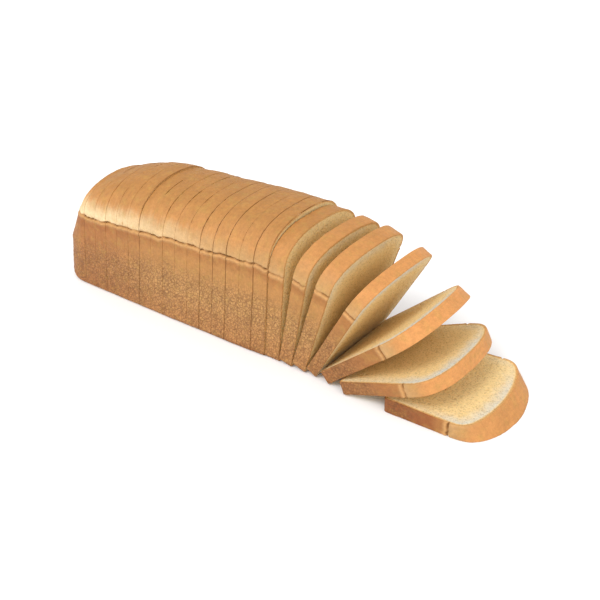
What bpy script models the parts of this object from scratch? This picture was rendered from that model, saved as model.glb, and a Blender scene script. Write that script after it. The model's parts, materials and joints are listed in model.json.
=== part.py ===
"""A white sandwich loaf, cut right through into slices, with one heel left on.

Most of the slices still stand together and lean a little towards the open end. The last seven have
fallen forward one by one like a row of books, and the last of them lies flat on the table.

X runs along the loaf, from the heel to the fanned slices. Y is across it and Z is up. A slice has a
flat bottom, side walls that lean out a little, the torn line where the dough rose out of its tin, and
a broad rounded top above that. Every slice is a loft between its back and its front section, and
each keeps a thin gap to the slices beside it.
"""

import math

import bmesh
import bpy
from mathutils import Matrix, Vector

MM = 0.001

# The section in the middle of the loaf
HALF_WIDTH = 44.0 * MM  # at the torn line
FOOT_INSET = 2.0 * MM  # how much narrower each side is at the table
CORNER = 2.5 * MM  # radius of the two bottom corners
SHRED_HEIGHT = 77.5 * MM  # the torn line above the table, where it is highest
HEIGHT = 107.5 * MM
SIDE_POWER = 2.35  # how square the top is across
HEEL_SIDE_POWER = 1.85  # rounder at the heel
TOP_POWER = 2.66  # and upwards
NOTCH = 1.0 * MM  # depth of the torn line
NOTCH_HALF = 1.6 * MM
EDGE = 0.6 * MM  # small round where the crust meets the cut face

# The standing slices
STANDING = 15
PITCH = 12.8 * MM  # one slice and its gap, about half an inch
GAP = 0.3 * MM
OPEN_LEAN = 6.5  # degrees from upright at the open face
HEEL_LEAN = 10.5  # and at the heel

# The heel
HEEL_THICK = 25.5 * MM
HEEL_ROUND = 21.5 * MM  # how much of that is rounded off towards the end
HEEL_SIDE = 14.0 * MM  # how far the rounding draws in each side
HEEL_FOOT = 12.0 * MM  # the foot
HEEL_TOP = 30.0 * MM  # and the top
HEEL_SLUMP = 13.5 * MM  # how far the end falls back towards its top
HEEL_DROP = 14.0 * MM  # how much lower the top is at the heel
HEEL_WAIST = 0.42  # the height, as a share of the full one, below which the end keeps upright
HEEL_EVEN = 0.65  # how evenly its top falls away, from 0, all at the end, to 1

# How the section changes along the loaf, counted in slices behind the open face
SHRED_PEAK = 1.7  # where the torn line is highest
SHRED_FALL = 0.55 * MM  # how much it falls in the first slice from there
SHRED_CURVE = 1.15
TALLER_FROM = 10  # the slices behind this cut stand a little taller
TALLER = 1.5 * MM
DROP_FROM = 10.5  # the top falls away to the heel from here
DROP_CURVE = 1.8
NARROWER = 3.5 * MM  # each side at the heel
ROUNDER_FROM = 8
CUT_SIDE = 0.01  # the section just beside a cut

# The slices that have come away, first the one nearest the stack. Each row holds its thickness,
# its lean from upright, its turn seen from above, its shift across, its half width, the height of its
# torn line, its full height and how much further its lower face reaches, in millimetres and degrees.
FAN = (
    (13.2, 6.5, -1.5, 0.5, 44.0, 73.5, 104.0, 0.0),
    (11.2, 12.5, -1.5, 1.0, 45.0, 75.0, 100.0, 0.0),
    (11.6, 18.0, -1.5, 1.0, 45.5, 75.0, 98.5, 0.0),
    (9.2, 29.5, -1.5, 1.0, 46.0, 70.5, 96.5, 0.0),
    (10.2, 49.5, -1.0, -1.5, 45.0, 64.0, 91.0, 5.0),
    (9.8, 68.5, -0.5, -4.5, 46.0, 56.0, 83.0, 1.5),
    (11.2, 90.0, 2.5, -6.0, 44.5, 49.0, 70.5, 11.0),
)
FLAT_SIDE_POWER = 1.75  # the flat slice has a rounder top

CRUST_COLOR = (0.52, 0.27, 0.10, 1.0)


def clear_scene():
    for obj in list(bpy.data.objects):
        bpy.data.objects.remove(obj, do_unlink=True)


def material(name, color, roughness):
    made = bpy.data.materials.new(name)
    made.use_nodes = True
    shader = made.node_tree.nodes["Principled BSDF"]
    shader.inputs["Base Color"].default_value = color
    shader.inputs["Roughness"].default_value = roughness
    shader.inputs["Metallic"].default_value = 0.0
    return made


def power(value, exponent):
    return math.copysign(abs(value) ** exponent, value)


def outline(half, shred, height, side_power, inset=0.0):
    """The section as (across, up) points, once round from the foot of the near side."""
    half, height = half - inset, height - inset
    foot = half - FOOT_INSET
    near = []
    for step in range(4):
        turn = math.radians(270 - 30 * step)
        across = -foot + CORNER + CORNER * math.cos(turn)
        near.append((across, inset + CORNER + CORNER * math.sin(turn)))
    near.append((-foot - 0.5 * FOOT_INSET, 0.5 * shred))
    near.append((-half, shred - NOTCH_HALF))
    near.append((-half + NOTCH, shred))
    top = []
    for step in range(19):
        turn = math.pi * (1 - step / 18)
        across = half * power(math.cos(turn), 2 / side_power)
        rise = height - shred - NOTCH_HALF
        top.append((across, shred + NOTCH_HALF + rise * math.sin(turn) ** (2 / TOP_POWER)))
    return near + top + [(-across, up) for across, up in reversed(near)]


def shrunk(shape, half, height, reach):
    """The section drawn in all round; reach is how far towards the end it stands, from 0 to 1."""
    middle = HEEL_WAIST * height
    curved = 1 - math.sqrt(1 - reach**2)
    straight = curved + HEEL_EVEN * (reach - curved)
    drawn = []
    for across, up in shape:
        if up > middle:
            part = (up - middle) / (height - middle)
            side, up = curved + (straight - curved) * part, up - HEEL_TOP * straight * part
            along = HEEL_SLUMP * straight * part
        else:
            side, up = curved, middle - (middle - up) * (1 - HEEL_FOOT / middle * curved)
            along = 0.0
        drawn.append((along, across * (1 - HEEL_SIDE / half * side), up))
    return drawn


def loft(name, rings, skin):
    """A closed body through rings of the same number of points."""
    mesh = bpy.data.meshes.new(name)
    bm = bmesh.new()
    rows = [[bm.verts.new(point) for point in ring] for ring in rings]
    count = len(rows[0])
    bm.faces.new(list(reversed(rows[0])))
    bm.faces.new(rows[-1])
    for low, high in zip(rows, rows[1:]):
        for i in range(count):
            j = (i + 1) % count
            bm.faces.new((low[i], low[j], high[j], high[i]))
    bmesh.ops.recalc_face_normals(bm, faces=bm.faces)
    bm.to_mesh(mesh)
    bm.free()
    mesh.shade_smooth()
    mesh.set_sharp_from_angle(angle=math.radians(35))
    mesh.materials.append(skin)
    obj = bpy.data.objects.new(name, mesh)
    COLLECTION.objects.link(obj)
    return obj


def slice_rings(thick, back, front, back_lean, front_lean):
    """The rings of one slice, from its back face to its front face at x = 0.

    Each end is a section, as loaf_section gives it. A lean pushes each point forward in step with its
    height, so that the bottom of the slice stays on the table.
    """
    rings = []
    for section, inset, along, lean in (
        (back, EDGE, -thick, back_lean),
        (back, 0.0, EDGE - thick, back_lean),
        (front, 0.0, -EDGE, front_lean),
        (front, EDGE, 0.0, front_lean),
    ):
        slope = math.tan(math.radians(lean))
        rings.append([(along + up * slope, across, up) for across, up in outline(*section, inset)])
    return rings


def loaf_section(behind):
    """(half width, torn line, height, squareness) of the loaf this many slices behind its open face."""
    shred = SHRED_HEIGHT - SHRED_FALL * abs(behind - SHRED_PEAK) ** SHRED_CURVE
    height = HEIGHT - TALLER * behind / TALLER_FROM if behind < TALLER_FROM else HEIGHT
    height -= HEEL_DROP * (max(behind - DROP_FROM, 0) / (STANDING - DROP_FROM)) ** DROP_CURVE
    half = HALF_WIDTH - NARROWER * (behind / STANDING) ** 2
    rounder = max(behind - ROUNDER_FROM, 0) / (STANDING - ROUNDER_FROM)
    return half, shred, height, SIDE_POWER + (HEEL_SIDE_POWER - SIDE_POWER) * rounder


def stack_lean(behind):
    return OPEN_LEAN + (HEEL_LEAN - OPEN_LEAN) * behind / STANDING


def fan_feet():
    """Where each fallen slice stands: its front face rests on the back edge of the next one."""
    feet = [0.0]
    for before, after in zip(FAN, FAN[1:]):
        thick, lean = after[0] * MM, math.radians(after[1])
        step = thick * (math.cos(lean) + math.sin(lean) * math.tan(math.radians(before[1])))
        twist = after[4] * MM * math.tan(math.radians(abs(after[2] - before[2])))
        feet.append(feet[-1] + step + twist + GAP)
    return feet


clear_scene()
COLLECTION = bpy.data.collections.new("sandwich_loaf")
bpy.context.scene.collection.children.link(COLLECTION)
crust = material("crust", CRUST_COLOR, 0.6)
made = []

# The fallen slices, each turned about its front bottom edge
for index, foot in enumerate(fan_feet()):
    thick, half, shred, height, flare = (FAN[index][i] * MM for i in (0, 4, 5, 6, 7))
    lean, turn, across = FAN[index][1:4]
    squareness = FLAT_SIDE_POWER if lean == 90.0 else SIDE_POWER
    back, front = ((half, shred, height + more, squareness) for more in (0.0, flare))
    shear = lean if index == 0 else 0.0
    obj = loft(f"fan_slice_{index + 1:02d}", slice_rings(thick, back, front, shear, shear), crust)
    obj.matrix_world = (
        Matrix.Translation((foot, across * MM, 0.0))
        @ Matrix.Rotation(math.radians(turn), 4, "Z")
        @ Matrix.Rotation(math.radians(lean - shear), 4, "Y")
    )
    made.append(obj)

# The standing slices, each between two stations of the loaf
twist = HALF_WIDTH * math.tan(math.radians(abs(FAN[0][2])))
open_face = -FAN[0][0] * MM - twist - GAP
for number in range(STANDING):
    rings = slice_rings(
        PITCH - GAP,
        loaf_section(number + 1 - CUT_SIDE),
        loaf_section(number + CUT_SIDE),
        stack_lean(number + 1),
        stack_lean(number),
    )
    obj = loft(f"standing_slice_{number + 1:02d}", rings, crust)
    obj.matrix_world = Matrix.Translation((open_face - number * PITCH, 0.0, 0.0))
    made.append(obj)

# The heel: a rounded end, and the cut face in front at x = 0
half, shred, height, squareness = loaf_section(STANDING)
slope = math.tan(math.radians(HEEL_LEAN))
stations = []
for step in range(8):
    reach = math.sin(math.radians(90 - 90 * step / 7))
    stations.append((HEEL_ROUND - HEEL_THICK - HEEL_ROUND * reach, reach, 0.0))
stations += [(-EDGE, 0.0, 0.0), (0.0, 0.0, EDGE)]
rings = []
for station, reach, inset in stations:
    shape = shrunk(outline(half, shred, height, squareness, inset), half, height, reach)
    rings.append([(station + along + up * slope, across, up) for along, across, up in shape])
heel = loft("heel", rings, crust)
heel.matrix_world = Matrix.Translation((open_face - STANDING * PITCH, 0.0, 0.0))
made.append(heel)

# The origin is the middle of the footprint, on the table
corners = [obj.matrix_world @ vertex.co for obj in made for vertex in obj.data.vertices]
middle = Vector(
    [(min(c[axis] for c in corners) + max(c[axis] for c in corners)) / 2 for axis in (0, 1)]
    + [min(c[2] for c in corners)]
)
for obj in made:
    obj.matrix_world = Matrix.Translation(-middle) @ obj.matrix_world
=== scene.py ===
"""The looks of a sliced white sandwich loaf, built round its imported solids.

Every slice, and the heel, is one closed mesh that takes the place of its solid. A section of the loaf is
swept from the slice's back cut to its front cut to make the crust, and each cut is closed with a net of
crumb, finer where it shows. The crust, and the crumb where it shows, are then pushed in and out by
noise: the torn line along the walls, wrinkles low on the walls, dimples on the top and pores in the
crumb. The noise is read in the loaf's own coordinates (along, across, up), so the crust runs on from
slice to slice.
"""

import itertools
import json
import math

import bpy
import numpy as np
from mathutils import Matrix, Vector
from mathutils.geometry import delaunay_2d_cdt

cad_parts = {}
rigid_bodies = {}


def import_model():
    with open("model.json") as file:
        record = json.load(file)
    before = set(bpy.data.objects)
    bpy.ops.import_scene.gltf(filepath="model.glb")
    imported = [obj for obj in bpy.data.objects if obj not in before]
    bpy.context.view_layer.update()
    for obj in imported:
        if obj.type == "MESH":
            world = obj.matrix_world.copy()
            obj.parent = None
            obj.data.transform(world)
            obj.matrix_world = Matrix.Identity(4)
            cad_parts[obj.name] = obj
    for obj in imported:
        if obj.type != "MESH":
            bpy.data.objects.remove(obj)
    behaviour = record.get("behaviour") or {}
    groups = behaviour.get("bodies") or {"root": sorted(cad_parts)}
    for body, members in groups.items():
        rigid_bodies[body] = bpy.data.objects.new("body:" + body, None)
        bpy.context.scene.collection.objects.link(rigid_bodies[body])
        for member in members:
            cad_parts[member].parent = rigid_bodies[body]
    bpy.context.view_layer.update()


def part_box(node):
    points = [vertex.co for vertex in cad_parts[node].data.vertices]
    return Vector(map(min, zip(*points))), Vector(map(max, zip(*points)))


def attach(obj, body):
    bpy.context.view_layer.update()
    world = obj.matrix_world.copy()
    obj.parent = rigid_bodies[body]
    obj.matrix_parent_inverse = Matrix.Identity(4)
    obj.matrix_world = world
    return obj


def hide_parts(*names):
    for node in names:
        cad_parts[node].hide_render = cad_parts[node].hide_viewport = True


MM = 0.001

# The loaf's section, as in its solids
HALF_WIDTH = 44.0 * MM
FOOT_INSET = 2.0 * MM
CORNER = 2.5 * MM
SHRED_HEIGHT = 77.5 * MM
HEIGHT = 107.5 * MM
SIDE_POWER = 2.35
HEEL_SIDE_POWER = 1.85
TOP_POWER = 2.66
NOTCH_HALF = 1.6 * MM
EDGE = 0.6 * MM

# The standing slices
STANDING = 15
PITCH = 12.8 * MM
GAP = 0.3 * MM
OPEN_LEAN = 6.5
HEEL_LEAN = 10.5

# The heel
HEEL_THICK = 25.5 * MM
HEEL_ROUND = 21.5 * MM
HEEL_SIDE = 14.0 * MM
HEEL_FOOT = 12.0 * MM
HEEL_TOP = 30.0 * MM
HEEL_SLUMP = 13.5 * MM
HEEL_DROP = 14.0 * MM
HEEL_WAIST = 0.42
HEEL_EVEN = 0.65

# How the section changes along the loaf, counted in slices behind the open face
SHRED_PEAK = 1.7
SHRED_FALL = 0.55 * MM
SHRED_CURVE = 1.15
TALLER_FROM = 10
TALLER = 1.5 * MM
DROP_FROM = 10.5
DROP_CURVE = 1.8
NARROWER = 3.5 * MM
ROUNDER_FROM = 8
CUT_SIDE = 0.01

# The fallen slices: thickness, lean, turn, shift across, half width, torn line, height and how much
# further the lower face reaches, in millimetres and degrees
FAN = (
    (13.2, 6.5, -1.5, 0.5, 44.0, 73.5, 104.0, 0.0),
    (11.2, 12.5, -1.5, 1.0, 45.0, 75.0, 100.0, 0.0),
    (11.6, 18.0, -1.5, 1.0, 45.5, 75.0, 98.5, 0.0),
    (9.2, 29.5, -1.5, 1.0, 46.0, 70.5, 96.5, 0.0),
    (10.2, 49.5, -1.0, -1.5, 45.0, 64.0, 91.0, 5.0),
    (9.8, 68.5, -0.5, -4.5, 46.0, 56.0, 83.0, 1.5),
    (11.2, 90.0, 2.5, -6.0, 44.5, 49.0, 70.5, 11.0),
)
FLAT_SIDE_POWER = 1.75

# How much painted light brightens each fallen slice's top crust, for the light on its tilted top, and how
# much browner its wall is, from 0 to 1
FAN_LIGHT_AND_BROWN = ((0.1, 0.0), (0.3, 0.0), (0.4, 0.0), (0.8, 0.3), (1.0, 0.55), (0.9, 0.55), (0.6, 0.9))

# How finely the meshes are made
RIM_STEP = 0.8 * MM  # across the crust, from cut to cut
BOTTOM_POINTS = 48  # round half a section: along the bottom,
WALL_POINTS = 84  # up the wall,
TORN_POINTS = 26  # past the torn line,
TOP_POINTS = 108  # and over to the crown
TORN_REACH = 4.0 * MM  # how far each side of the torn line is made finer
CRUMB_STEP = 0.9 * MM  # on a cut that shows
HIDDEN_STEP = 2.6 * MM  # on a cut that lies against the next one
STRAIGHT_POINTS = 60  # along a straight stretch, before it is spaced evenly,
CORNER_POINTS = 20  # round a bottom corner,
ARCH_POINTS = 1500  # and over half the top
HEEL_RINGS = 30  # of crust round the heel's end
END_RINGS = 26  # that close the middle of its end
END_BULGE = 1.2 * MM  # how far those stand out
END_STEP = 1.5 * MM  # in the small net inside the last of them
OUTLINE_BATCH = 60  # how many outline points are measured at a time

# The first seed of each kind of piece
FAN_SEED = 200
STANDING_SEED = 300
HEEL_SEED = 400

# How the slices differ
OWN_SWELL = 0.24  # in millimetres, how far each one's crust stands in or out by itself
WIDE_CUTS = (0, 1, 3, 4, 5, 10)  # the cuts of the standing loaf that have opened a little
WIDE_ROUND = 0.5 * MM  # the radius of a crust's edge at those,
TIGHT_ROUND = 0.2 * MM  # at the others,
LOOSE_ROUND = 0.55 * MM  # and on a fallen slice
WIDE_GAP = 0.15 * MM
TIGHT_GAP = 0.04 * MM
SLIT_PAINTED_SHADE = 0.8  # how far the crust's edges at the wide cuts of the standing loaf are darkened brown, as painted shade of the slits between slices

# The camera, in the loaf's frame
CAMERA_AZIMUTH = 36.19
CAMERA_ELEVATION = 29.97
CAMERA_ROLL = -1.07
CAMERA_DISTANCE = 700.55 * MM
CAMERA_TARGET = Vector((21.4, 1.05, 38.1)) * MM
CAMERA_LENS = 56.35
CAMERA_SHIFT = (-0.0043, -0.0132)

# The light: the world's strength, then each lamp's name, direction, strength and width in degrees
WORLD_STRENGTH = 0.85
LAMPS = (
    ("key", (-0.15, -0.7, 0.9), 1.5, 28),
    ("fill", (0.95, -0.45, 0.7), 0.8, 50),
)
FLOOR_SIZE = 40.0
FLOOR_HEIGHT = -0.0002  # just under the loaf
FLOOR_WHITE = 0.93


# Noise


def scrambled(cell, seed):
    """A number from 0 to 1 for each whole-number cell, always the same one."""
    key = np.full(cell.shape[:-1], (seed * 374761393 + 668265263) % 2**32, np.uint32)
    for axis, prime in enumerate((2654435761, 2246822519, 3266489917)):
        key ^= cell[..., axis].astype(np.int32).view(np.uint32) * np.uint32(prime)
        key ^= key >> 15
        key *= np.uint32(0x85EBCA6B)
        key ^= key >> 13
        key *= np.uint32(0xC2B2AE35)
        key ^= key >> 16
    return key / 2.0**32


def noise(points, size, seed):
    """Smooth noise from -1 to 1 whose lumps have this size, in metres, or one size for each axis."""
    scaled = points / np.asarray(size)
    cell = np.floor(scaled).astype(np.int64)
    part = scaled - cell
    ease = part * part * part * (part * (6 * part - 15) + 10)
    total = 0.0
    for corner in itertools.product((0, 1), repeat=3):
        weight = np.where(corner, ease, 1 - ease).prod(axis=-1)
        total = total + weight * scrambled(cell + np.array(corner), seed)
    return 2 * total - 1


def line_noise(along, size, seed):
    return noise(np.stack([along, 0 * along, 0 * along], axis=-1), size, seed)


def cells(points, size, seed):
    """Distances to the nearest and the second nearest of one scattered point a cell, in cell sizes."""
    scaled = points / np.asarray(size)
    cell = np.floor(scaled).astype(np.int64)
    first = np.full(len(points), 9.0)
    second = first.copy()
    for corner in itertools.product((-1, 0, 1), repeat=3):
        near = cell + np.array(corner)
        spot = np.stack([scrambled(near, seed + axis) for axis in range(3)], axis=-1)
        gap = np.linalg.norm(near + spot - scaled, axis=1)
        second = np.minimum(second, np.maximum(first, gap))
        first = np.minimum(first, gap)
    return first, second


def ramp(value, low, high):
    """0 up to low, 1 from high on, and smooth in between."""
    part = np.clip((value - low) / (high - low), 0, 1)
    return part * part * (3 - 2 * part)


def bump_at(value, middle, width):
    return np.exp(-(((value - middle) / width) ** 2))


# The section of the loaf


def evenly(points, count):
    """This many points at even steps along a line of points, without its last one."""
    reach = np.concatenate([[0], np.cumsum(np.linalg.norm(np.diff(points, axis=0), axis=1))])
    steps = np.linspace(0, reach[-1], count + 1)[:-1]
    return np.stack([np.interp(steps, reach, axis) for axis in points.T], axis=-1)


def straight(start, end):
    return np.linspace(start, end, STRAIGHT_POINTS)


def section_ring(half, shred, height, side_power, inset):
    """The section as (across, up), once round from the middle of the bottom, near side first."""
    half, height = half - inset, height - inset
    foot = half - FOOT_INSET
    turn = np.radians(np.linspace(270, 180, CORNER_POINTS))
    corner = np.stack(
        [-foot + CORNER + CORNER * np.cos(turn), inset + CORNER + CORNER * np.sin(turn)], axis=-1
    )
    turn = np.linspace(np.pi, np.pi / 2, ARCH_POINTS)
    across = -half * np.abs(np.cos(turn)) ** (2 / side_power)
    rise = height - shred - NOTCH_HALF
    top = np.stack([across, shred + NOTCH_HALF + rise * np.sin(turn) ** (2 / TOP_POWER)], axis=-1)
    top = np.concatenate([straight((-half, shred), (-half, shred + NOTCH_HALF)), top])
    split = np.searchsorted(top[:, 1], shred + TORN_REACH)
    lip = shred - TORN_REACH
    lean = FOOT_INSET * TORN_REACH / (shred - inset - CORNER)
    wall = np.concatenate([corner, straight((-foot, inset + CORNER), (-half + lean, lip))])
    torn = np.concatenate([straight((-half + lean, lip), (-half, shred)), top[: split + 1]])
    near = np.concatenate(
        [
            evenly(straight((0.0, inset), corner[0]), BOTTOM_POINTS),
            evenly(wall, WALL_POINTS),
            evenly(torn, TORN_POINTS),
            evenly(top[split:], TOP_POINTS),
            [(0.0, height)],
        ]
    )
    return np.concatenate([near, near[-2:0:-1] * (-1, 1)])


def shrunk(shape, half, height, reach):
    """The heel's section drawn in all round; reach is how far towards the end it stands, from 0 to 1."""
    across, up = shape.T
    middle = HEEL_WAIST * height
    curved = 1 - math.sqrt(1 - reach**2)
    even = curved + HEEL_EVEN * (reach - curved)
    part = (up - middle) / (height - middle)
    above = up > middle
    side = np.where(above, curved + (even - curved) * part, curved)
    along = np.where(above, HEEL_SLUMP * even * part, 0.0)
    lowered = up - HEEL_TOP * even * part
    raised = middle - (middle - up) * (1 - HEEL_FOOT / middle * curved)
    return along, across * (1 - HEEL_SIDE / half * side), np.where(above, lowered, raised)


def loaf_section(behind):
    """(half width, torn line, height, squareness) this many slices behind the open face."""
    shred = SHRED_HEIGHT - SHRED_FALL * abs(behind - SHRED_PEAK) ** SHRED_CURVE
    height = HEIGHT - TALLER * behind / TALLER_FROM if behind < TALLER_FROM else HEIGHT
    height -= HEEL_DROP * (max(behind - DROP_FROM, 0) / (STANDING - DROP_FROM)) ** DROP_CURVE
    half = HALF_WIDTH - NARROWER * (behind / STANDING) ** 2
    rounder = max(behind - ROUNDER_FROM, 0) / (STANDING - ROUNDER_FROM)
    return half, shred, height, SIDE_POWER + (HEEL_SIDE_POWER - SIDE_POWER) * rounder


def stack_lean(behind):
    return OPEN_LEAN + (HEEL_LEAN - OPEN_LEAN) * behind / STANDING


def fan_feet():
    """Where each fallen slice stands, forward of the first one's foot."""
    feet = [0.0]
    for before, after in zip(FAN, FAN[1:]):
        thick, lean = after[0] * MM, math.radians(after[1])
        step = thick * (math.cos(lean) + math.sin(lean) * math.tan(math.radians(before[1])))
        twist = after[4] * MM * math.tan(math.radians(abs(after[2] - before[2])))
        feet.append(feet[-1] + step + twist + GAP)
    return feet


# The crust and the crumb, as relief


def torn_height(loaf, shred):
    """How far each point stands above the torn line, which wanders along the loaf."""
    along = loaf[:, 0]
    wander = 0.9 * line_noise(along, 24 * MM, 3) + 0.7 * line_noise(along, 8 * MM, 4)
    wander += 0.55 * line_noise(along, 2.4 * MM, 5)
    far = 0.8 * line_noise(along, 17 * MM, 6)
    return loaf[:, 2] - shred - MM * (wander + far * (loaf[:, 1] > 0))


def wrinkles(loaf):
    """1 along the fine cracks of the lower wall, 0 between them; some fade out, as skin does."""
    strayed = loaf + 1.5 * MM * np.stack(
        [noise(loaf, 2.8 * MM, 11), noise(loaf, 2.8 * MM, 12), noise(loaf, 2.8 * MM, 13)], axis=-1
    )
    first, second = cells(strayed, (2.3 * MM, 3.0 * MM, 2.6 * MM), 20)
    strength = 0.5 + 0.5 * ramp(noise(loaf, 5 * MM, 21), -0.5, 0.5)
    return (1 - ramp(second - first, 0.02, 0.28)) * strength


def crust_relief(loaf, torn):
    """(relief in metres, crack shade from 0 to 1) of the crust."""
    along = loaf[:, 0]
    wall = 1 - ramp(torn, -2.5 * MM, -0.5 * MM)
    low = ramp(-torn + 5 * MM * noise(loaf, 14 * MM, 30), 12 * MM, 40 * MM)
    band = ramp(torn, 0, 1.5 * MM) * (1 - ramp(torn, 6 * MM, 13 * MM))
    top = ramp(torn, 4 * MM, 14 * MM)
    relief = 0.3 * noise(loaf, 24 * MM, 31) + 0.12 * noise(loaf, 7 * MM, 32)
    relief += top * (0.2 * noise(loaf, 11 * MM, 33) + 0.09 * noise(loaf, (3.4 * MM, 2.2 * MM, 2.2 * MM), 34))
    relief -= top * 0.14 * ramp(1 - np.abs(noise(loaf, (9 * MM, 5 * MM, 5 * MM), 29)), 0.75, 1.0)
    ragged = np.clip(1 + 0.9 * line_noise(along, 4 * MM, 35), 0.15, 2)
    groove = bump_at(torn, 0, 0.7 * MM) * ragged
    relief -= 1.35 * groove
    relief += 0.4 * bump_at(torn, -2.0 * MM, 1.2 * MM) * (1 + 0.6 * line_noise(along, 5 * MM, 36))
    relief += 0.3 * bump_at(torn, 2.6 * MM, 1.8 * MM) * (0.7 + noise(loaf, 4 * MM, 37))
    streaks = noise(loaf, (1.0 * MM, 30 * MM, 10 * MM), 38)
    relief += (0.17 * band + 0.07 * wall * (1 - low)) * streaks
    cracks = wrinkles(loaf) * wall * low
    relief -= 0.24 * cracks
    relief += 0.14 * wall * low * noise(loaf, 1.9 * MM, 39)
    relief *= ramp(loaf[:, 2], -1 * MM, 3 * MM)
    return relief * MM, np.clip(cracks + 0.9 * groove * (torn < 1.5 * MM), 0, 1)


def crumb_relief(loaf, inward):
    """(relief in metres, pore shade from 0 to 1) of a cut face."""
    shade = np.zeros(len(loaf))
    depth = np.zeros(len(loaf))
    for size, share, deep, seed in ((7.0, 0.13, 0.6, 50), (3.2, 0.24, 0.4, 60), (1.9, 0.32, 0.25, 70)):
        scale = np.array([8 * size, size, size]) * MM
        first = cells(loaf, scale, seed)[0]
        pit = 1 - ramp(first, 0.4 * share, 1.6 * share)
        depth += deep * pit
        shade = np.maximum(shade, pit * deep)
    depth += 0.07 * (1 + noise(loaf, 1.5 * MM, 80)) + 0.12 * (1 + noise(loaf, 9 * MM, 81))
    return -depth * MM * ramp(inward, 0.2 * MM, 1.6 * MM), shade


# Meshes


def vertex_normals(points, triangles):
    a, b, c = (points[triangles[:, i]] for i in range(3))
    facing = np.cross(b - a, c - a)
    normals = np.zeros_like(points)
    for i in range(3):
        for axis in range(3):
            normals[:, axis] += np.bincount(triangles[:, i], facing[:, axis], len(points))
    return normals / np.maximum(np.linalg.norm(normals, axis=1, keepdims=True), 1e-12)


def distance_in(points, outline):
    """How far each point lies from the nearest outline point."""
    nearest = np.full(len(points), 9.0)
    for start in range(0, len(outline), OUTLINE_BATCH):
        batch = outline[None, start : start + OUTLINE_BATCH]
        gaps = np.linalg.norm(points[:, None] - batch, axis=2)
        nearest = np.minimum(nearest, gaps.min(axis=1))
    return nearest


def inside(points, outline):
    """Whether each (across, up) point lies inside the outline, by how often a line from it crosses."""
    found = np.zeros(len(points), bool)
    for (y0, z0), (y1, z1) in zip(outline, np.roll(outline, -1, axis=0)):
        crosses = (z0 > points[:, 1]) != (z1 > points[:, 1])
        if crosses.any():
            at = y0 + (points[:, 1] - z0) / (z1 - z0) * (y1 - y0)
            found ^= crosses & (points[:, 0] < at)
    return found


def net(outline, step, seed):
    """(points inside the outline, triangles, each point's distance in) that close it."""
    low, high = outline.min(axis=0), outline.max(axis=0)
    rows = np.arange(low[1] + step / 2, high[1], step * 0.87)
    columns = np.arange(low[0], high[0] + step, step)
    across, up = np.meshgrid(columns, rows)
    across = across + (np.arange(len(rows)) % 2)[:, None] * step / 2
    points = np.stack([across.ravel(), up.ravel()], axis=-1)
    count = np.arange(len(points))
    labels = [np.stack([count, 0 * count, 0 * count + i], axis=-1) for i in (0, 1)]
    shake = np.stack([scrambled(label, seed) for label in labels])
    points += (shake.T - 0.5) * 0.45 * step
    away = distance_in(points, outline)
    kept = inside(points, outline) & (away > 0.62 * min(step, 2 * MM))
    points, away = points[kept], away[kept]
    everything = [Vector(p) for p in np.concatenate([outline, points])]
    ring = list(range(len(outline)))
    _, _, faces, _, _, _ = delaunay_2d_cdt(everything, [], [ring], 1, 1e-9)
    return points, np.array(faces), away


def close_cut(cut, at, slope, step, seed):
    """A cut's crumb points and triangles, in the slice's own frame, and their distance in."""
    points, triangles, away = net(cut[:, 1:], step, seed)
    slanted = at + points[:, 1] * slope
    return np.column_stack([slanted, points]), triangles, away


def facing_x(points, triangles, sign):
    """The triangles with their corners turned so that they face along x, forward or back."""
    a, b, c = (points[triangles[:, i]][:, 1:] for i in range(3))
    area = np.cross(b - a, c - a)
    turned = triangles.copy()
    wrong = area * sign < 0
    turned[wrong] = turned[wrong][:, ::-1]
    return turned


def sheet_of(rings, across_count):
    """Quads of the crust between rings of points."""
    row = np.arange(len(rings) - 1)[:, None] * across_count
    here = np.arange(across_count)[None]
    after = (here + 1) % across_count
    quads = np.stack(
        [row + here, row + across_count + here, row + across_count + after, row + after], axis=-1
    )
    return quads.reshape(-1, 4)


def rim_stations(thick, back_round, front_round):
    """(along, inset) from the back cut to the front one, with the edges rounded by these radii."""
    turns = np.radians([0, 30, 60])
    back = [(back_round * (1 - math.cos(a)), back_round * (1 - math.sin(a))) for a in turns]
    front = [(thick - front_round * (1 - math.cos(a)), front_round * (1 - math.sin(a))) for a in turns]
    flat = thick - back_round - front_round
    steps = max(4, round(flat / RIM_STEP))
    middle = [(back_round + flat * i / steps, 0.0) for i in range(steps + 1)]
    return [(along - thick, inset) for along, inset in back + middle + front[::-1]]


def mark_rims(mesh, count, last, both):
    """Makes the edges sharp where the crust meets the front cut and, if both, the back one."""
    pairs = np.empty(2 * len(mesh.edges), np.int32)
    mesh.edges.foreach_get("vertices", pairs)
    low, high = np.sort(pairs.reshape(-1, 2), axis=1).T
    beside = (high - low == 1) | (high - low == count - 1)
    front = (low >= last) & (high < last + count)
    back = (high < count) & both
    sharp = mesh.attributes.new("sharp_edge", "BOOLEAN", "EDGE")
    sharp.data.foreach_set("value", beside & (front | back))


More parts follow.
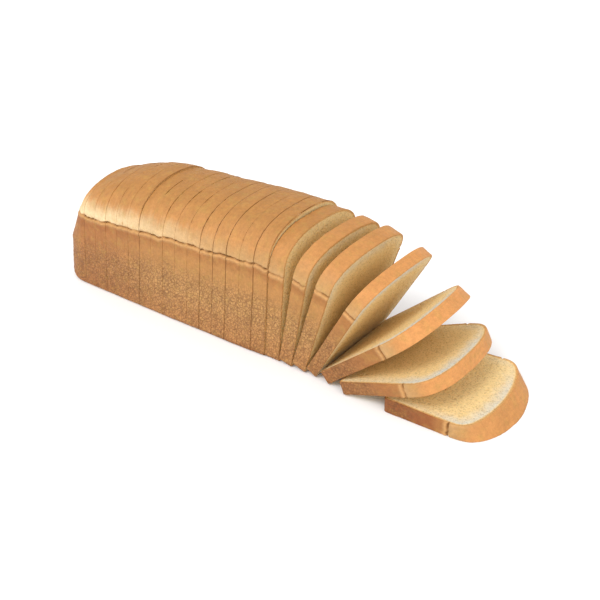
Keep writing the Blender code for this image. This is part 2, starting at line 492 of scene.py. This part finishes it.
def build(name, rings, loaf_rings, shreds, ends, edges, cuts, matrix, station, painted_light, brown, seed):
    """One piece of bread from its rings; cuts are (points, triangles, away, sign) for each crumb face.

    For each ring, ends says whether it is on the heel's round end, where relief also pushes along the
    loaf, and edges how far painted shade of the slit at a cut darkens it.
    """
    count = len(rings[0])
    points = [np.concatenate(rings)]
    loaf = [np.concatenate(loaf_rings)]
    shred = [np.repeat(shreds, count)]
    away = [np.zeros(len(points[0]))]
    quads = sheet_of(rings, count)
    crumb = []
    total = len(points[0])
    for end, (inner, triangles, depth, sign) in zip((0, len(rings) - 1), cuts):
        if inner is None:
            continue
        numbers = np.concatenate([np.arange(count) + end * count, total + np.arange(len(inner))])
        everything = np.concatenate([rings[end], inner])
        crumb.append(numbers[facing_x(everything, triangles, sign)])
        points.append(inner)
        upright = inner.copy()
        upright[:, 0] = station + (0 if sign > 0 else -1) * PITCH
        loaf.append(upright)
        shred.append(np.full(len(inner), shreds[end]))
        away.append(depth)
        total += len(inner)
    points, loaf = np.concatenate(points), np.concatenate(loaf)
    shred, away = np.concatenate(shred), np.concatenate(away)
    crumb = np.concatenate(crumb)
    torn = torn_height(loaf, shred)
    triangles = np.concatenate([quads[:, [0, 1, 2]], quads[:, [0, 2, 3]], crumb])
    normals = vertex_normals(points, triangles)
    normals[: len(quads) + count, 0] *= np.repeat(ends, count)
    normals /= np.maximum(np.linalg.norm(normals, axis=1, keepdims=True), 1e-12)
    crust_push, cracks = crust_relief(loaf, torn)
    own = scrambled(np.array([[seed, 0, 0]]), 7)[0] - 0.5
    crust_push += MM * OWN_SWELL * (own + 0.8 * noise(loaf, 16 * MM, 1000 + seed))
    crumb_push, pores = crumb_relief(loaf, away)
    on_crust = away == 0
    crumb_push *= painted_light > 0  # a cut that lies against the next one stays flat
    # the edge rings take painted shade, for the slits between slices, on top of the cracks
    cracks[: len(quads) + count] = np.maximum(cracks[: len(quads) + count], np.repeat(edges, count))
    push = np.where(on_crust, crust_push, crumb_push)
    points = points + normals * push[:, None]
    points = points @ np.array(matrix.to_3x3()).T + np.array(matrix.translation)

    mesh = bpy.data.meshes.new(name)
    mesh.from_pydata(points, [], quads.tolist() + crumb.tolist())
    kinds = np.concatenate([np.zeros(len(quads), np.int32), np.ones(len(crumb), np.int32)])
    mesh.materials.append(MATERIALS["crust"])
    mesh.materials.append(MATERIALS["crumb"])
    mesh.polygons.foreach_set("material_index", kinds)
    mesh.shade_smooth()
    mark_rims(mesh, count, len(quads), ends[0] == 0)
    for label, values in (
        ("torn", torn),
        ("inward", away),
        ("shade", np.where(on_crust, cracks, pores * (painted_light > 0))),
        ("painted_light", np.full(len(points), painted_light)),
        ("brown", np.full(len(points), brown)),
    ):
        layer = mesh.attributes.new(label, "FLOAT", "POINT")
        layer.data.foreach_set("value", values.astype(np.float32))
    layer = mesh.attributes.new("loaf", "FLOAT_VECTOR", "POINT")
    layer.data.foreach_set("vector", loaf.astype(np.float32).ravel())
    mesh.validate()
    obj = bpy.data.objects.new(name, mesh)
    bpy.context.scene.collection.objects.link(obj)
    return obj


def slice_piece(
    name, thick, back, front, back_lean, front_lean, matrix, station, steps, rounds, painted_light, brown, seed
):
    """One slice: its crust swept from the back section to the front one, and its two cuts."""
    rings, loaf_rings, shreds, edges = [], [], [], []
    for along, inset in rim_stations(thick, *rounds):
        part = (along + thick) / thick
        section = [a + (b - a) * part for a, b in zip(back, front)]
        slope = math.tan(math.radians(back_lean + (front_lean - back_lean) * part))
        ring = section_ring(*section, inset)
        rings.append(np.column_stack([along + ring[:, 1] * slope, ring]))
        loaf_rings.append(np.column_stack([np.full(len(ring), station + along), ring]))
        shreds.append(section[1])
        # painted shade on the edges at the cuts of the standing loaf, for the slits between slices
        edges.append(SLIT_PAINTED_SHADE * rounds[part > 0.5] / WIDE_ROUND * (inset > 0 and painted_light == 0))
    back_slope, front_slope = (math.tan(math.radians(lean)) for lean in (back_lean, front_lean))
    cuts = (
        close_cut(rings[0], -thick, back_slope, steps[0], seed) + (-1,),
        close_cut(rings[-1], 0.0, front_slope, steps[1], seed + 1) + (1,),
    )
    ends = [0.0] * len(rings)
    return build(name, rings, loaf_rings, shreds, ends, edges, cuts, matrix, station, painted_light, brown, seed)


# Materials


def colour(red, green, blue):
    """A linear colour from the 0 to 255 numbers that a screen shows."""
    shown = [value / 255 for value in (red, green, blue)]
    linear = [v / 12.92 if v <= 0.04 else ((v + 0.055) / 1.055) ** 2.4 for v in shown]
    return (*linear, 1.0)


def add(tree, kind, inputs=(), **settings):
    """A shader node with its settings and its inputs, each a number, a colour or another node's socket."""
    made = tree.nodes.new("ShaderNode" + kind)
    for key, value in settings.items():
        setattr(made, key, value)
    for key, value in dict(inputs).items():
        if isinstance(value, bpy.types.NodeSocket):
            tree.links.new(value, made.inputs[key])
        else:
            made.inputs[key].default_value = value
    return made


def math_node(tree, operation, first, second):
    return add(tree, "Math", {0: first, 1: second}, operation=operation).outputs[0]


def between(tree, value, low, high, start=0.0, end=1.0):
    inputs = {"Value": value, "From Min": low, "From Max": high, "To Min": start, "To Max": end}
    return add(tree, "MapRange", inputs, interpolation_type="SMOOTHSTEP").outputs["Result"]


def attribute(tree, name, output="Fac"):
    return add(tree, "Attribute", attribute_name=name).outputs[output]


def mixed(tree, share, first, second, blend="MIX"):
    made = add(tree, "Mix", {0: share, 6: first, 7: second}, data_type="RGBA", blend_type=blend)
    return made.outputs[2]


def noise_node(tree, where, size, detail=2.0, stretch=(1, 1, 1)):
    """Noise, from 0 to 1, with lumps of this size in metres."""
    finer = tuple(1 / (size * s) for s in stretch)
    scaled = add(tree, "VectorMath", {0: where, 1: finer}, operation="MULTIPLY").outputs[0]
    inputs = {"Vector": scaled, "Scale": 1.0, "Detail": detail, "Roughness": 0.55}
    return add(tree, "TexNoise", inputs).outputs["Fac"]


def swing(tree, value, amount):
    """A brightness that goes up and down by this share as value goes from 0 to 1."""
    inputs = {0: value, 1: 2 * amount, 2: 1 - amount}
    return add(tree, "Math", inputs, operation="MULTIPLY_ADD").outputs[0]


def times(tree, *values):
    total = values[0]
    for value in values[1:]:
        total = math_node(tree, "MULTIPLY", total, value)
    return total


def banded(tree, value, low, high, stops):
    """A colour that runs through the stops as value goes from low to high; each stop is (value, colour)."""
    part = add(tree, "MapRange", {"Value": value, "From Min": low, "From Max": high}).outputs["Result"]
    made = add(tree, "ValToRGB", {"Fac": part})
    ramp_of = made.color_ramp
    ramp_of.interpolation = "EASE"
    while len(ramp_of.elements) < len(stops):
        ramp_of.elements.new(0.5)
    for element, (at, shade) in zip(ramp_of.elements, stops):
        element.position = (at - low) / (high - low)
        element.color = shade
    return made.outputs["Color"]


def new_material(name):
    made = bpy.data.materials.new(name)
    made.use_nodes = True
    shader = made.node_tree.nodes["Principled BSDF"]
    return made, made.node_tree, shader


def crackle(tree, loaf):
    """1 along a fine net of wandering cracks, 0 between them."""
    scaled = add(tree, "VectorMath", {0: loaf, 1: (1 / (2.6 * MM),) * 3}, operation="MULTIPLY").outputs[0]
    wander = add(tree, "TexNoise", {"Vector": scaled, "Scale": 0.8, "Detail": 2.0}).outputs["Color"]
    strayed = add(tree, "VectorMath", {0: wander, 1: (1.6, 1.6, 1.6), 2: scaled}, operation="MULTIPLY_ADD")
    edge = add(tree, "TexVoronoi", {"Vector": strayed.outputs[0], "Scale": 1.0}, feature="DISTANCE_TO_EDGE")
    return between(tree, edge.outputs["Distance"], 0.0, 0.16, 1.0, 0.0)


def crust_material():
    """Baked crust: golden brown, cream where it tore, with fine cracks low on the walls."""
    made, tree, shader = new_material("crust")
    loaf = attribute(tree, "loaf", "Vector")
    torn = attribute(tree, "torn")
    shade = attribute(tree, "shade")
    fibres = noise_node(tree, loaf, 1.5 * MM, 3.0, stretch=(1, 12, 12))
    patches = noise_node(tree, loaf, 12 * MM, 2.0)
    strayed = math_node(tree, "ADD", times(tree, fibres, 8 * MM), times(tree, patches, 12 * MM))
    above = between(tree, torn, 0.5 * MM, 4 * MM)
    height = math_node(tree, "ADD", torn, times(tree, math_node(tree, "SUBTRACT", strayed, 10 * MM), above))
    base = banded(
        tree,
        height,
        -80 * MM,
        36 * MM,
        (
            (-78 * MM, colour(152, 94, 44)),
            (-70 * MM, colour(186, 132, 78)),
            (-40 * MM, colour(190, 142, 86)),
            (-14 * MM, colour(178, 126, 70)),
            (-5 * MM, colour(164, 110, 58)),
            (-1.2 * MM, colour(196, 146, 90)),
            (2 * MM, colour(184, 138, 84)),
            (7 * MM, colour(182, 132, 76)),
            (15 * MM, colour(186, 130, 74)),
            (30 * MM, colour(172, 119, 62)),
        ),
    )
    along = add(tree, "SeparateXYZ", {0: loaf}).outputs["X"]
    # the cream band above the torn line; reaching up to 19 mm and strongest towards the heel, it is also a
    # painted highlight on the upper wall there
    pale_band_and_highlight = times(
        tree,
        between(tree, height, 0.0, 2 * MM),
        between(tree, height, 4 * MM, 19 * MM, 1.0, 0.0),
        between(tree, along, -0.2, -0.04, 0.95, 0.1),
    )
    base = mixed(tree, pale_band_and_highlight, base, colour(232, 204, 158))
    brown = times(tree, attribute(tree, "brown"), between(tree, torn, -4 * MM, -14 * MM))
    base = mixed(tree, brown, base, colour(140, 78, 38))
    redder = times(tree, between(tree, along, -0.2, -0.1, 0.55, 0.0), between(tree, torn, 0.0, -6 * MM))
    base = mixed(tree, redder, base, colour(150, 86, 42))
    # painted light: each fallen slice's top crust is made brighter and more orange for the light that falls
    # on its tilted top
    painted_top_light = times(tree, attribute(tree, "painted_light"), between(tree, torn, 8 * MM, 20 * MM))
    base = mixed(tree, painted_top_light, base, colour(208, 143, 82))
    olive = between(tree, noise_node(tree, loaf, 7 * MM, 4.0), 0.45, 0.75)
    base = mixed(tree, times(tree, olive, 0.35), base, colour(178, 142, 72))
    # darker along the cracks and the torn line, and painted shade at the cut edges of the standing loaf for
    # the slits between slices
    base = mixed(tree, times(tree, shade, 0.5), base, colour(110, 68, 34))
    low = between(tree, torn, -12 * MM, -36 * MM)
    crazing = times(tree, crackle(tree, loaf), low)
    base = mixed(tree, times(tree, crazing, 0.6), base, colour(112, 70, 36))
    broad = swing(tree, noise_node(tree, loaf, 16 * MM, 3.0), 0.14)
    mottle = swing(tree, noise_node(tree, loaf, 3.0 * MM, 3.0), 0.24)
    fine = swing(tree, noise_node(tree, loaf, 0.9 * MM, 2.0), 0.16)
    streaks = swing(tree, noise_node(tree, loaf, 1.1 * MM, 2.0, stretch=(1, 20, 9)), 0.08)
    light = times(tree, broad, mottle, fine, streaks)
    scaled = add(tree, "VectorMath", {0: base, "Scale": light}, operation="SCALE").outputs[0]
    tree.links.new(scaled, shader.inputs["Base Color"])
    rough = add(tree, "Math", {0: noise_node(tree, loaf, 5 * MM), 1: 0.2, 2: 0.5}, operation="MULTIPLY_ADD")
    tree.links.new(rough.outputs[0], shader.inputs["Roughness"])
    shader.inputs["Specular IOR Level"].default_value = 0.3
    coarse = times(tree, noise_node(tree, loaf, 2.2 * MM, 2.0), 1.5)
    grain = math_node(tree, "ADD", noise_node(tree, loaf, 0.8 * MM, 3.0), coarse)
    grain = math_node(tree, "SUBTRACT", grain, crazing)
    bump = add(tree, "Bump", {"Strength": 0.6, "Distance": 0.3 * MM, "Height": grain})
    tree.links.new(bump.outputs["Normal"], shader.inputs["Normal"])
    return made


def crumb_material():
    """Soft white crumb: cream to tan, whiter by the top crust, with the crust's edge round it."""
    made, tree, shader = new_material("crumb")
    loaf = attribute(tree, "loaf", "Vector")
    torn = attribute(tree, "torn")
    inward = attribute(tree, "inward")
    shade = attribute(tree, "shade")
    lumps = noise_node(tree, loaf, 9 * MM, 3.0)
    strayed = add(tree, "Math", {0: lumps, 1: 10 * MM, 2: inward}, operation="MULTIPLY_ADD").outputs[0]
    across = add(tree, "SeparateXYZ", {0: loaf}).outputs["Y"]
    whiter = times(
        tree,
        between(tree, strayed, 4 * MM, 19 * MM, 1.0, 0.0),
        between(tree, attribute(tree, "painted_light"), 0.0, 0.9),
        between(tree, torn, -14 * MM, 4 * MM, 0.3, 1.0),
        between(tree, across, 10 * MM, 32 * MM, 1.0, 0.3),
        between(tree, inward, 0.8 * MM, 3 * MM),
    )
    base = mixed(tree, whiter, colour(222, 192, 136), colour(192, 195, 190))
    frayed = add(
        tree,
        "Math",
        {0: noise_node(tree, loaf, 1.6 * MM, 2.0), 1: -1.1 * MM, 2: inward},
        operation="MULTIPLY_ADD",
    ).outputs[0]
    base = mixed(tree, between(tree, frayed, 0.0, 1.3 * MM, 0.8, 0.0), base, colour(190, 136, 76))
    base = mixed(tree, times(tree, shade, 0.35), base, colour(190, 146, 86))
    where = add(
        tree, "VectorMath", {0: loaf, 1: (0.1 / MM, 0.75 / MM, 0.6 / MM)}, operation="MULTIPLY"
    ).outputs[0]
    pores = add(tree, "TexVoronoi", {"Vector": where, "Scale": 1.0}).outputs["Distance"]
    pits = between(tree, pores, 0.1, 0.5)
    light = times(
        tree,
        add(tree, "Math", {0: pits, 1: 0.28, 2: 0.8}, operation="MULTIPLY_ADD").outputs[0],
        swing(tree, noise_node(tree, loaf, 2.5 * MM, 3.0), 0.14),
        swing(tree, noise_node(tree, loaf, 0.8 * MM, 2.0), 0.16),
    )
    scaled = add(tree, "VectorMath", {0: base, "Scale": light}, operation="SCALE").outputs[0]
    tree.links.new(scaled, shader.inputs["Base Color"])
    shader.inputs["Roughness"].default_value = 0.9
    shader.inputs["Specular IOR Level"].default_value = 0.15
    shader.inputs["Subsurface Weight"].default_value = 0.12
    shader.inputs["Subsurface Radius"].default_value = (1.0, 0.7, 0.4)
    shader.inputs["Subsurface Scale"].default_value = 3 * MM
    grain = math_node(tree, "ADD", pits, times(tree, noise_node(tree, loaf, 0.7 * MM, 3.0), 0.8))
    bump = add(tree, "Bump", {"Strength": 0.5, "Distance": 0.35 * MM, "Height": grain})
    tree.links.new(bump.outputs["Normal"], shader.inputs["Normal"])
    return made


# The pieces


def show(piece, node):
    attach(piece, "root")
    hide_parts(node)


def fallen_slices(shift):
    station = 0.0
    for index, foot in enumerate(fan_feet()):
        thick, half, shred, height, flare = (FAN[index][i] * MM for i in (0, 4, 5, 6, 7))
        lean, turn, across = FAN[index][1:4]
        station += thick
        squareness = FLAT_SIDE_POWER if lean == 90.0 else SIDE_POWER
        back, front = ((half, shred, height + more, squareness) for more in (0.0, flare))
        shear = lean if index == 0 else 0.0
        matrix = (
            Matrix.Translation(shift + Vector((foot, across * MM, 0.0)))
            @ Matrix.Rotation(math.radians(turn), 4, "Z")
            @ Matrix.Rotation(math.radians(lean - shear), 4, "Y")
        )
        node = f"fan_slice_{index + 1:02d}"
        # each fallen slice's share of painted light on its top, and how much browner its wall is
        painted_light, brown = FAN_LIGHT_AND_BROWN[index]
        piece = slice_piece(
            node + "_bread",
            thick,
            back,
            front,
            shear,
            shear,
            matrix,
            station,
            (CRUMB_STEP, CRUMB_STEP),
            (LOOSE_ROUND, LOOSE_ROUND),
            painted_light,
            brown,
            FAN_SEED + 2 * index,
        )
        show(piece, node)


def cut_of(station):
    """(gap, edge radius) of the cut this many slices behind the open face."""
    return (WIDE_GAP, WIDE_ROUND) if station in WIDE_CUTS else (TIGHT_GAP, TIGHT_ROUND)


def standing_slices(shift, open_face):
    for number in range(STANDING):
        matrix = Matrix.Translation(shift + Vector((open_face - number * PITCH, 0.0, 0.0)))
        node = f"standing_slice_{number + 1:02d}"
        gap, rounds = zip(*(cut_of(station) for station in (number + 1, number)))
        piece = slice_piece(
            node + "_bread",
            PITCH - gap[0],
            loaf_section(number + 1 - CUT_SIDE),
            loaf_section(number + CUT_SIDE),
            stack_lean(number + 1),
            stack_lean(number),
            matrix,
            -FAN[0][0] * MM - number * PITCH,
            (HIDDEN_STEP, HIDDEN_STEP),
            rounds,
            0.0,
            0.0,
            STANDING_SEED + 2 * number,
        )
        show(piece, node)


def heel_piece(shift, open_face):
    """The heel: the crust runs round its end and closes in rings there."""
    half, shred, height, squareness = loaf_section(STANDING)
    slope = math.tan(math.radians(HEEL_LEAN))
    station = -FAN[0][0] * MM - STANDING * PITCH
    stations = [
        (HEEL_ROUND * (1 - math.sin(a)) - HEEL_THICK, math.sin(a), 0.0)
        for a in np.radians(np.linspace(90, 0, HEEL_RINGS))
    ]
    flat = HEEL_THICK - HEEL_ROUND
    steps = round((flat - EDGE) / RIM_STEP)
    stations += [((i / steps - 1) * flat - EDGE * i / steps, 0.0, 0.0) for i in range(1, steps + 1)]
    turns = np.radians([30, 60, 90])
    stations += [(-EDGE * (1 - math.sin(a)), 0.0, EDGE * (1 - math.cos(a))) for a in turns]
    rings, loaf_rings = [], []
    ends = [float(reach > 0) for at, reach, inset in stations]
    # painted shade on the heel's edge at its cut, for the slit against the last slice
    edges = [SLIT_PAINTED_SHADE * (inset > 0) for at, reach, inset in stations]
    for at, reach, inset in stations:
        ring = section_ring(half, shred, height, squareness, inset)
        along, across, up = shrunk(ring, half, height, reach)
        rings.append(np.column_stack([at + along + up * slope, across, up]))
        loaf_rings.append(np.column_stack([station + at + along, across, up]))
    shreds = [shred] * len(rings)
    end = rings[0]
    middle = end.mean(axis=0)
    for part in np.linspace(1, 0, END_RINGS)[1:-1]:
        bulge = np.array([END_BULGE * (1 - part**2), 0, 0])
        rings.insert(0, middle + (end - middle) * part - bulge)
        loaf_rings.insert(0, rings[0] + np.array([station, 0, 0]))
        shreds.insert(0, shred)
        ends.insert(0, 1.0)
        edges.insert(0, 0.0)
    matrix = Matrix.Translation(shift + Vector((open_face - STANDING * PITCH, 0.0, 0.0)))
    cuts = (
        close_cut(rings[0], rings[0][:, 0].mean(), 0.0, END_STEP, HEEL_SEED) + (-1,),
        close_cut(rings[-1], 0.0, slope, HIDDEN_STEP, HEEL_SEED + 1) + (1,),
    )
    piece = build(
        "heel_bread",
        rings,
        loaf_rings,
        shreds,
        ends,
        edges,
        cuts,
        matrix,
        station,
        0.0,
        0.0,
        HEEL_SEED,
    )
    show(piece, "heel")


def studio():
    """A white floor, soft daylight from above and the near side, and the camera."""
    bpy.ops.mesh.primitive_plane_add(size=FLOOR_SIZE, location=(0, 0, FLOOR_HEIGHT))
    floor = bpy.context.object
    floor.name = "floor"
    made, _, shader = new_material("floor")
    shader.inputs["Base Color"].default_value = (FLOOR_WHITE,) * 3 + (1,)
    shader.inputs["Roughness"].default_value = 0.9
    shader.inputs["Specular IOR Level"].default_value = 0.0
    floor.data.materials.append(made)

    world = bpy.data.worlds.new("studio")
    world.use_nodes = True
    world.node_tree.nodes["Background"].inputs["Color"].default_value = (1, 1, 1, 1)
    world.node_tree.nodes["Background"].inputs["Strength"].default_value = WORLD_STRENGTH
    bpy.context.scene.world = world

    for name, towards, strength, spread in LAMPS:
        light = bpy.data.lights.new(name, "SUN")
        light.energy = strength
        light.angle = math.radians(spread)
        lamp = bpy.data.objects.new(name, light)
        direction = Vector(towards).normalized()
        lamp.location = direction
        lamp.rotation_euler = direction.to_track_quat("Z", "Y").to_euler()
        bpy.context.scene.collection.objects.link(lamp)

    azimuth, elevation, roll = (math.radians(a) for a in (CAMERA_AZIMUTH, CAMERA_ELEVATION, CAMERA_ROLL))
    back = Vector(
        (
            math.sin(azimuth) * math.cos(elevation),
            -math.cos(azimuth) * math.cos(elevation),
            math.sin(elevation),
        )
    )
    level = Vector((math.cos(azimuth), math.sin(azimuth), 0.0))
    upward = back.cross(level)
    right = math.cos(roll) * level + math.sin(roll) * upward
    upward = math.cos(roll) * upward - math.sin(roll) * level
    camera = bpy.data.cameras.new("camera")
    camera.lens = CAMERA_LENS
    camera.sensor_width = 36.0
    camera.shift_x, camera.shift_y = CAMERA_SHIFT
    camera.clip_end = 20.0
    holder = bpy.data.objects.new("camera", camera)
    holder.matrix_world = Matrix.Translation(CAMERA_TARGET + back * CAMERA_DISTANCE) @ Matrix(
        (right, upward, back)
    ).transposed().to_4x4()
    bpy.context.scene.collection.objects.link(holder)
    bpy.context.scene.camera = holder
    bpy.context.scene.view_settings.view_transform = "Standard"


for thing in list(bpy.data.objects):
    bpy.data.objects.remove(thing, do_unlink=True)
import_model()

MATERIALS = {"crust": crust_material(), "crumb": crumb_material()}
twist = HALF_WIDTH * math.tan(math.radians(abs(FAN[0][2])))
open_face = -FAN[0][0] * MM - twist - GAP
low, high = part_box("standing_slice_01")
back_foot = open_face - PITCH + GAP + EDGE * math.tan(math.radians(stack_lean(1)))
shift = Vector((low.x - back_foot, (low.y + high.y) / 2, low.z))
fallen_slices(shift)
standing_slices(shift, open_face)
heel_piece(shift, open_face)
studio()
